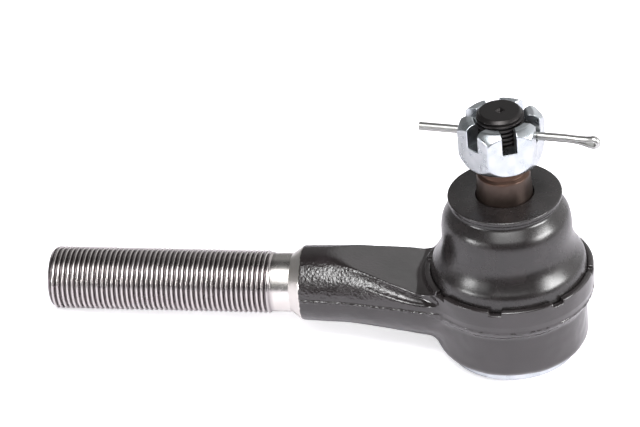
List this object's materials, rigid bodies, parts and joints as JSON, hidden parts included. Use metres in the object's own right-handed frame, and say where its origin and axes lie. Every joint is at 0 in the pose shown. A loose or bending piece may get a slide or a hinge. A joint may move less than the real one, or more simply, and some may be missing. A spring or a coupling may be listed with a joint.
{
  "type": "tie rod end",
  "caption": "Straight male tie rod end: a forged socket on a threaded shank, with a tapered ball stud, dust boot, slotted castle nut and cotter pin.",
  "frame": {"origin": "centre of the ball, on the axis of the threaded shank", "axes": "+Z along the ball stud towards the nut, -X along the shank towards its threaded end"},
  "size_m": [0.1551, 0.046, 0.0754],
  "materials": {
    "forging_paint": "black gloss paint over a rough forging",
    "machined_steel": "bright turned and rolled steel, on the shank of the forging",
    "stud_phosphate": "brown-black phosphate",
    "zinc_plate": "bright zinc plate",
    "pin_wire": "zinc plated wire",
    "boot_rubber": "satin moulded rubber",
    "ring_steel": "plain pressed steel",
    "bearing_polymer": "natural acetal",
    "spring_steel": "oiled spring steel",
    "cap_steel": "bright zinc plate"
  },
  "bodies": {
    "housing": {"forged_housing": "forging_paint", "boot_base_ring": "ring_steel", "upper_bearing": "bearing_polymer", "lower_bearing": "bearing_polymer", "preload_spring": "spring_steel", "end_cap": "cap_steel"},
    "boot": {"dust_boot": "boot_rubber"},
    "boot_collar": {"boot_lip_insert": "ring_steel"},
    "stud": {"ball_stud": "stud_phosphate"},
    "nut": {"castle_nut": "zinc_plate"},
    "cotter": {"cotter_pin": "pin_wire"}
  },
  "joints": [
    {"name": "tilt_heading", "type": "hinge", "parent": "housing", "child": "boot", "pos_m": [0, 0, 0], "axis": [0, 0, 1], "continuous": true},
    {"name": "stud_tilt", "type": "hinge", "parent": "boot", "child": "boot_collar", "pos_m": [0, 0, 0], "axis": [0, 1, 0], "range_deg": [-25, 25], "deforming": ["dust_boot"]},
    {"name": "stud_spin", "type": "hinge", "parent": "boot_collar", "child": "stud", "pos_m": [0, 0, 0], "axis": [0, 0, 1], "continuous": true},
    {"name": "nut_play", "type": "hinge", "parent": "stud", "child": "nut", "pos_m": [0, 0, 0.0486], "axis": [0, 0, 1], "range_deg": [-0.8, 6.8]},
    {"name": "cotter_pull", "type": "slide", "parent": "stud", "child": "cotter", "axis": [0.9914, -0.1305, 0], "range_m": [-0.008, 0.036]}
  ]
}
